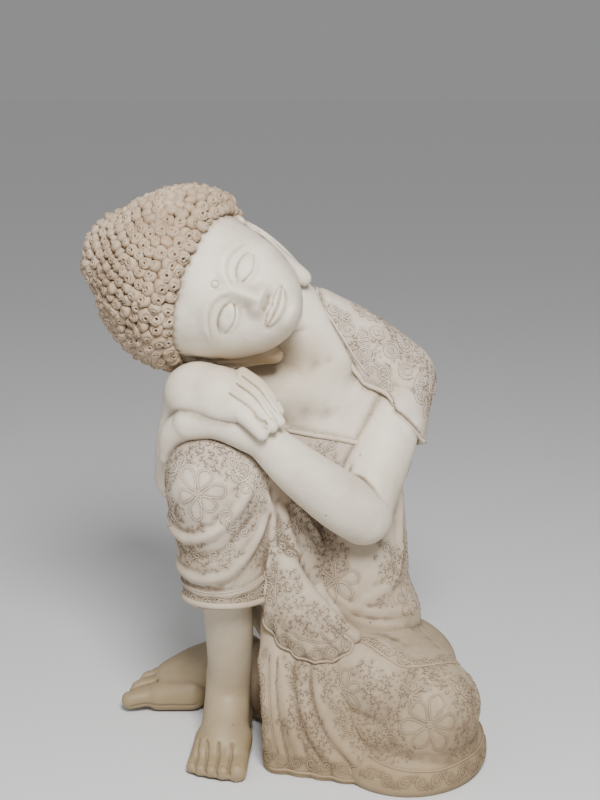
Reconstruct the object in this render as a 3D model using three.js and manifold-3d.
// A seated figure in cast stone, asleep with its head on two stacked hands, which lie on its raised right knee.
// It is cast in sections that are bonded together and pinned with steel dowels. It is solid and has no moving parts.
// Millimetres, +Z up, the figure faces -Y, and its own right side is at -X. The origin is under the middle of the figure.
// "left" and "right" in names and comments are the figure's own.
import * as THREE from "three";
import { mergeVertices } from "three/addons/utils/BufferGeometryUtils.js";
import Module from "manifold-3d";

const wasm = await Module();
wasm.setup();

// Driving dimensions, mm.
const JOINT_GAP = 0.3; // bond line between two sections
const CLOTH = 1.6; // thickness of the robe where it lies on the body
const HAIR = 7.6; // thickness of the layer of curls over the skull
const DOWEL_R = 2; // steel pins in the bonded joints
const DOWEL_FIT = 0.1; // slack around a dowel
const FLOOR_CUT = 60; // how far the shapes are trimmed below the ground
const PLEATS = 5; // folds of the cloth between the legs
const HEM_RADIUS = 19.5; // the rolled hem around the raised shin
const HEM_ROLL = 2.6;

// Landmarks of the pose.
const SKULL = at(-50, -9, 249);
const CROWN_WAY = at(-0.94, 0.1, 0.33).normalize(); // from the chin to the crown of the tilted head
const FACE_WAY = at(0.1, -0.97, 0.2).normalize(); // the way the face looks, before it is squared to CROWN_WAY
const NECK_TOP = at(-6, 5, 236);
const NECK_BASE = at(17, 14, 206);
const LEFT_SHOULDER = at(55, 22, 186);
const LEFT_ELBOW = at(36, -26, 130);
const LEFT_WRIST = at(-13, -46, 177);
const RIGHT_SHOULDER = at(-20, 20, 180);
const RIGHT_ELBOW = at(-57, 0, 144);
const RIGHT_WRIST = at(-52, -21, 192);
const KNEE = at(-36, -30, 152); // the raised right knee
const HEM = at(-33, -25, 89); // the middle of the hem around the raised shin
const HIP = at(16, 30, 58);
const LAP_KNEE = at(68, -42, 32); // the left knee, which lies on the ground

function at(x, y, z) {
  return new THREE.Vector3(x, y, z);
}

// ---- Solids -------------------------------------------------------------------------------------------------------

// A closed three.js geometry as a manifold solid.
function solid(geometry) {
  const bare = geometry.clone();
  bare.deleteAttribute("normal");
  bare.deleteAttribute("uv");
  const merged = mergeVertices(bare, 1e-4);
  const vertProperties = merged.attributes.position.array;
  const triVerts = new Uint32Array(merged.index.array);
  return new wasm.Manifold(new wasm.Mesh({ numProp: 3, vertProperties, triVerts }));
}

function join(solids) {
  return solids.reduce((whole, next) => whole.add(next));
}

function cut(whole, ...tools) {
  return tools.reduce((left, tool) => left.subtract(tool), whole);
}

// The largest body of a cut shape, without the slivers that a cut can leave.
function biggest(shape) {
  return shape.decompose().reduce((most, next) => (next.volume() > most.volume() ? next : most));
}

// An ellipsoid. turn holds degrees about X, Y and Z.
function ball(centre, radii, turn = [0, 0, 0], sides = 16) {
  const geometry = new THREE.SphereGeometry(1, sides, Math.round(sides * 0.55));
  geometry.rotateX(Math.PI / 2);
  geometry.scale(radii.x, radii.y, radii.z);
  const [rx, ry, rz] = turn.map(THREE.MathUtils.degToRad);
  geometry.applyMatrix4(new THREE.Matrix4().makeRotationFromEuler(new THREE.Euler(rx, ry, rz)));
  geometry.translate(centre.x, centre.y, centre.z);
  return solid(geometry);
}

// A round cone from a to b with a ball of the stated radius at each end.
function limb(a, b, ra, rb, sides = 12) {
  const way = b.clone().sub(a);
  const length = way.length();
  const lean = Math.asin((ra - rb) / length);
  const capSteps = Math.max(2, Math.round(sides / 6));
  const profile = [];
  for (let i = 0; i <= capSteps; i++) {
    const angle = -Math.PI / 2 + ((lean + Math.PI / 2) * i) / capSteps;
    profile.push(new THREE.Vector2(ra * Math.cos(angle), ra * Math.sin(angle)));
  }
  for (let i = 0; i <= capSteps; i++) {
    const angle = lean + ((Math.PI / 2 - lean) * i) / capSteps;
    profile.push(new THREE.Vector2(rb * Math.cos(angle), length + rb * Math.sin(angle)));
  }
  profile[0].x = 0;
  profile[profile.length - 1].x = 0;
  const geometry = new THREE.LatheGeometry(profile, sides);
  const turn = new THREE.Quaternion().setFromUnitVectors(at(0, 1, 0), way.normalize());
  geometry.applyQuaternion(turn);
  geometry.translate(a.x, a.y, a.z);
  return solid(geometry);
}

// A chain of limbs through points that each hold [x, y, z, radius], every radius grown by grow.
function chain(points, grow = 0, sides = 10) {
  const links = [];
  for (let i = 0; i + 1 < points.length; i++) {
    const [ax, ay, az, ar] = points[i];
    const [bx, by, bz, br] = points[i + 1];
    links.push(limb(at(ax, ay, az), at(bx, by, bz), ar + grow, br + grow, sides));
  }
  return join(links);
}

// A level ring of round section.
function ring(centre, radius, tube) {
  const geometry = new THREE.TorusGeometry(radius, tube, 5, 16);
  geometry.translate(centre.x, centre.y, centre.z);
  return solid(geometry);
}

// An outline in the XZ plane, extruded from y0 back to y1.
function wall(outline, y0, y1) {
  const shape = new THREE.Shape(outline.map(([x, z]) => new THREE.Vector2(x, z)));
  const geometry = new THREE.ExtrudeGeometry(shape, { depth: y1 - y0, bevelEnabled: false });
  geometry.rotateX(Math.PI / 2);
  geometry.translate(0, y1, 0);
  return solid(geometry);
}

function block(x, y, z) {
  return new THREE.BoxGeometry(x, y, z);
}

const underground = solid(block(400, 400, FLOOR_CUT).translate(0, 0, -FLOOR_CUT / 2));

// A dowel along a line, or its hole when slack is given.
function dowel(a, b, slack = 0) {
  const way = b.clone().sub(a);
  const geometry = new THREE.CylinderGeometry(DOWEL_R + slack, DOWEL_R + slack, way.length() + 2 * slack, 12);
  geometry.applyQuaternion(new THREE.Quaternion().setFromUnitVectors(at(0, 1, 0), way.clone().normalize()));
  const middle = a.clone().add(b).multiplyScalar(0.5);
  geometry.translate(middle.x, middle.y, middle.z);
  return solid(geometry);
}

// ---- Head ---------------------------------------------------------------------------------------------------------

// The head's own axes: x to its left ear, y back from the face, z to the crown.
const headAxes = (() => {
  const z = CROWN_WAY;
  const y = FACE_WAY.clone().negate().addScaledVector(z, FACE_WAY.dot(z)).normalize();
  const x = y.clone().cross(z);
  return new THREE.Matrix4().makeBasis(x, y, z).setPosition(SKULL);
})();

const headTurn = (() => {
  const e = new THREE.Euler().setFromRotationMatrix(headAxes);
  return [e.x, e.y, e.z].map(THREE.MathUtils.radToDeg);
})();

function inHead(x, y, z) {
  return at(x, y, z).applyMatrix4(headAxes);
}

function skull(grow = 0) {
  return join([
    ball(inHead(0, 2, 0), at(38 + grow, 38 + grow, 40 + grow), headTurn, 20),
    ball(inHead(0, -6, -24), at(31 + grow, 31 + grow, 33 + grow), headTurn),
    ball(inHead(0, -19, -46), at(14 + grow, 14 + grow, 13 + grow), headTurn, 10),
  ]);
}

// A long ear, with its lobe stretched down beside the jaw.
function ear(side, grow = 0) {
  const top = inHead(side * 37, 7, -6);
  const middle = inHead(side * 32, 5, -28);
  const lobe = inHead(side * 18, 3, -52);
  return join([limb(top, middle, 5.5 + grow, 4 + grow, 8), limb(middle, lobe, 4 + grow, 5 + grow, 8)]);
}

function baldHead(grow = 0) {
  return join([skull(grow), ear(1, grow), ear(-1, grow)]);
}

// Where the head has no hair: in front of the hairline, and below the nape.
function hairless() {
  const size = 160;
  const face = block(size, size, size);
  face.translate(0, -size / 2, -size / 2);
  face.rotateX(THREE.MathUtils.degToRad(-14));
  face.translate(0, 9, -13);
  face.applyMatrix4(headAxes);
  const nape = block(size, size, size);
  nape.translate(0, 0, -size / 2 - 42);
  nape.applyMatrix4(headAxes);
  return join([solid(face), solid(nape)]);
}

function hair(grow = 0) {
  const layer = HAIR + grow;
  return cut(
    join([
      ball(inHead(0, 2, 0), at(38 + layer, 38 + layer, 40 + layer), headTurn, 20),
      // The bump at the crown.
      ball(inHead(0, 5, 31), at(18 + layer, 18 + layer, 17 + layer), headTurn),
    ]),
    hairless(),
  );
}

// ---- Arms and hands -----------------------------------------------------------------------------------------------

function leftArm(grow = 0) {
  return join([
    limb(LEFT_SHOULDER, LEFT_ELBOW, 18 + grow, 16.5 + grow),
    limb(LEFT_ELBOW, LEFT_WRIST, 16 + grow, 10 + grow),
    // The palm wraps over the top of the knee, under the right hand.
    chain([[-13, -46, 177, 10], [-34, -40, 184, 9.5], [-49, -35, 182, 9]], grow),
    // Its fingers hang down the outer side of the knee.
    chain([[-48, -45, 180, 4.4], [-58, -44, 171, 4.2], [-62, -41, 158, 3.6]], grow, 7),
    chain([[-50, -38, 183, 4.4], [-60, -36, 173, 4.2], [-64, -33, 156, 3.6]], grow, 7),
    chain([[-50, -30, 184, 4.4], [-60, -28, 173, 4.2], [-64, -25, 160, 3.6]], grow, 7),
  ]);
}

function rightArm(grow = 0) {
  return join([
    limb(RIGHT_SHOULDER, RIGHT_ELBOW, 17 + grow, 14 + grow),
    limb(RIGHT_ELBOW, RIGHT_WRIST, 14 + grow, 10.5 + grow),
    chain([[-52, -21, 192, 10.5], [-41, -32, 199, 11.5], [-27, -42, 197, 9.5]], grow),
    // The heel of the hand rises under the cheek.
    limb(at(-48, -22, 200), at(-28, -30, 203), 12 + grow, 10 + grow),
    // Four fingers lie over the left wrist.
    chain([[-30, -34, 204, 4.6], [-14, -41, 201, 4.2], [-3, -47, 194, 3.6]], grow, 7),
    chain([[-32, -41, 202, 4.6], [-15, -49, 197, 4.3], [-3, -55, 189, 3.6]], grow, 7),
    chain([[-34, -47, 198, 4.6], [-18, -55, 192, 4.3], [-7, -60, 184, 3.6]], grow, 7),
    chain([[-36, -50, 193, 4.4], [-22, -57, 187, 4.1], [-12, -60, 180, 3.4]], grow, 7),
  ]);
}

// ---- Legs and feet ------------------------------------------------------------------------------------------------

// Each toe is [root x, y, z, tip x, y, z, radius].
function toes(rows, grow) {
  return rows.map(([ax, ay, az, bx, by, bz, r]) => limb(at(ax, ay, az), at(bx, by, bz), r + grow, r * 0.92 + grow, 7));
}

function raisedFoot(grow = 0) {
  return join([
    chain([[-33, -26, 96, 13], [-32, -14, 52, 12], [-33, -9, 24, 12]], grow, 12),
    chain([[-32, -4, 12, 12], [-34, -24, 11, 12], [-36, -40, 7, 10]], grow),
    chain([[-30, -30, 9, 10], [-28, -46, 6, 7.5]], grow),
    chain([[-42, -34, 8, 9], [-45, -44, 5, 6]], grow),
    ...toes([[-25.5, -46, 7, -25, -58, 5, 5], [-33, -46, 6.5, -33, -58, 4.4, 4.2], [-39.5, -44, 6, -40, -56, 4.2, 4],
      [-45, -42, 5.6, -46, -53, 4, 3.8], [-50, -38, 5, -51, -48, 3.8, 3.6]], grow),
  ]);
}

function foldedFoot(grow = 0) {
  return join([
    chain([[-28, 33, 28, 15], [-50, 35, 21, 14], [-66, 36, 14, 12]], grow),
    chain([[-56, 28, 10, 10], [-74, 27, 8, 8]], grow),
    chain([[-52, 42, 14, 11], [-64, 46, 12, 8]], grow),
    ...toes([[-75, 26, 9, -90, 24, 7, 5.4], [-73, 32, 13, -86, 31, 11, 4.6], [-70, 38, 15, -81, 38, 14, 4.4],
      [-66, 43, 15, -76, 44, 14, 4.2], [-61, 48, 14, -70, 50, 13, 3.9]], grow),
  ]);
}

function raisedLeg(grow = 0) {
  return join([
    ball(KNEE, at(26.5 + grow, 26 + grow, 27 + grow)),
    limb(at(-36, -31, 150), at(-33, -25, 100), 26.5 + grow, 21.5 + grow, 16),
    limb(at(-34, -24, 148), HIP, 25 + grow, 36 + grow, 16),
    ring(HEM, HEM_RADIUS, HEM_ROLL + grow),
  ]);
}

function foldedLeg(grow = 0) {
  return join([
    limb(at(34, 10, 40), LAP_KNEE, 37 + grow, 29 + grow, 16),
    limb(LAP_KNEE, at(20, -10, 26), 28 + grow, 26 + grow, 16),
    limb(at(66, -40, 16), at(-24, 30, 20), 30 + grow, 20 + grow),
    ball(at(62, -30, 8), at(40 + grow, 46 + grow, 22 + grow), [0, 0, -14]),
  ]);
}

// The cloth that hangs between the legs: a row of pleats that fans out from the waist to the ground.
function drape(grow = 0) {
  const pleats = [];
  for (let i = 0; i < PLEATS; i++) {
    const t = i / (PLEATS - 1);
    const top = [-4 + 26 * t, -18 + 4 * t, 86 - 6 * t, 10];
    const middle = [-4 + 36 * t, -30 - 8 * t, 56 - 4 * t, 11];
    const foot = [-6 + 46 * t, -40 - 14 * t, 6, 10.5];
    pleats.push(chain([top, middle, foot], grow, 8));
  }
  return join(pleats);
}

// ---- Torso --------------------------------------------------------------------------------------------------------

function torso(grow = 0) {
  return join([
    ball(at(22, 24, 160), at(42 + grow, 33 + grow, 50 + grow), [0, 8, 0]),
    chain([[22, 30, 130, 34], [24, 32, 90, 33], [28, 34, 48, 42]], grow, 16),
    ball(at(38, 35, 24), at(54 + grow, 42 + grow, 30 + grow)),
    chain([[14, 20, 227, 12], [34, 23, 207, 20], [54, 24, 190, 22]], grow, 12),
    chain([[14, 20, 222, 12], [-20, 20, 181, 17]], grow, 12),
  ]);
}

function neck(grow = 0) {
  return limb(NECK_TOP, NECK_BASE, 18 + grow, 20 + grow, 16);
}

// The region where the robe leaves the skin bare, seen from the front and from behind.
function bareRegion() {
  const front = [[6, 290], [10, 242], [20, 221], [31, 201], [38, 189], [34, 176], [21, 169], [6, 171], [-10, 174],
    [-28, 160], [-46, 140], [-90, 120], [-90, 290]];
  const back = [[8, 290], [10, 238], [-6, 206], [-24, 176], [-46, 140], [-90, 120], [-90, 290]];
  return join([wall(front, -90, 20), wall(back, 19.9, 110)]);
}

// ---- Dowels: from inside one section to inside the next -------------------------------------------------------------

const dowelLines = {
  neck_dowel: [at(-22, -4, 243), at(10, 10, 216)],
  left_shoulder_dowel: [at(18, 30, 192), at(52, 10, 174)],
  right_shoulder_dowel: [at(16, 26, 187), at(-30, 16, 172)],
  hip_dowel: [at(28, 48, 104), at(-4, 4, 102)],
  raised_shin_dowel: [at(-34, -28, 134), at(-32, -17, 66)],
  lap_dowel: [at(60, 58, 28), at(62, 8, 30)],
  drape_dowel: [at(20, -4, 34), at(15, -42, 36)],
  folded_foot_dowel: [at(14, 18, 26), at(-44, 33, 22)],
};

// ---- Materials ----------------------------------------------------------------------------------------------------

function finish(color, roughness, metalness = 0) {
  return new THREE.MeshStandardMaterial({ color, roughness, metalness });
}

const skinStone = finish(0xe2dacb, 0.7);
const robeStone = finish(0xc9bba7, 0.85);
const hairStone = finish(0xb8a48a, 0.85);
const steel = finish(0x9a9ca0, 0.4, 1);

// ---- Assembly -----------------------------------------------------------------------------------------------------

const group = new THREE.Group();

function add(name, shape, material) {
  const holes = Object.values(dowelLines).map(([a, b]) => dowel(a, b, DOWEL_FIT));
  const made = material === steel ? shape : cut(shape, underground, ...holes);
  const mesh = biggest(made).getMesh();
  const geometry = new THREE.BufferGeometry();
  geometry.setAttribute("position", new THREE.BufferAttribute(new Float32Array(mesh.vertProperties), 3));
  geometry.setIndex(new THREE.BufferAttribute(mesh.triVerts, 1));
  geometry.computeVertexNormals();
  const piece = new THREE.Mesh(geometry, material);
  piece.name = name;
  group.add(piece);
}

const gap = JOINT_GAP;
const bare = bareRegion();
const skin = join([torso(), neck()]).intersect(bare);
const skinRoom = join([torso(gap), neck(gap)]).intersect(bare);

add("left_arm", cut(leftArm(), rightArm(gap)), skinStone);
add("right_arm", rightArm(), skinStone);
add("head", cut(baldHead(), rightArm(gap), leftArm(gap)), skinStone);
add("hair_cap", cut(hair(), baldHead(gap), rightArm(gap), leftArm(gap)), hairStone);
add("chest_and_neck", cut(skin, baldHead(gap), hair(gap), leftArm(gap), rightArm(gap), raisedLeg(gap)), skinStone);
add("raised_foot", raisedFoot(), skinStone);
add("folded_foot", cut(foldedFoot(), raisedFoot(gap)), skinStone);
add("raised_leg_robe", cut(raisedLeg(), leftArm(gap), rightArm(gap), raisedFoot(gap)), robeStone);
add("front_drape", cut(drape(), raisedLeg(gap), raisedFoot(gap), leftArm(gap), foldedFoot(gap)), robeStone);
add("folded_leg_robe", cut(foldedLeg(), raisedLeg(gap), raisedFoot(gap), foldedFoot(gap), drape(gap)), robeStone);
add("robed_torso", cut(torso(CLOTH), bare, skinRoom, neck(gap), baldHead(gap), hair(gap), leftArm(gap),
  rightArm(gap), raisedLeg(gap), raisedFoot(gap), foldedFoot(gap), drape(gap), foldedLeg(gap)), robeStone);
for (const [name, [a, b]] of Object.entries(dowelLines)) add(name, dowel(a, b), steel);

export default group;
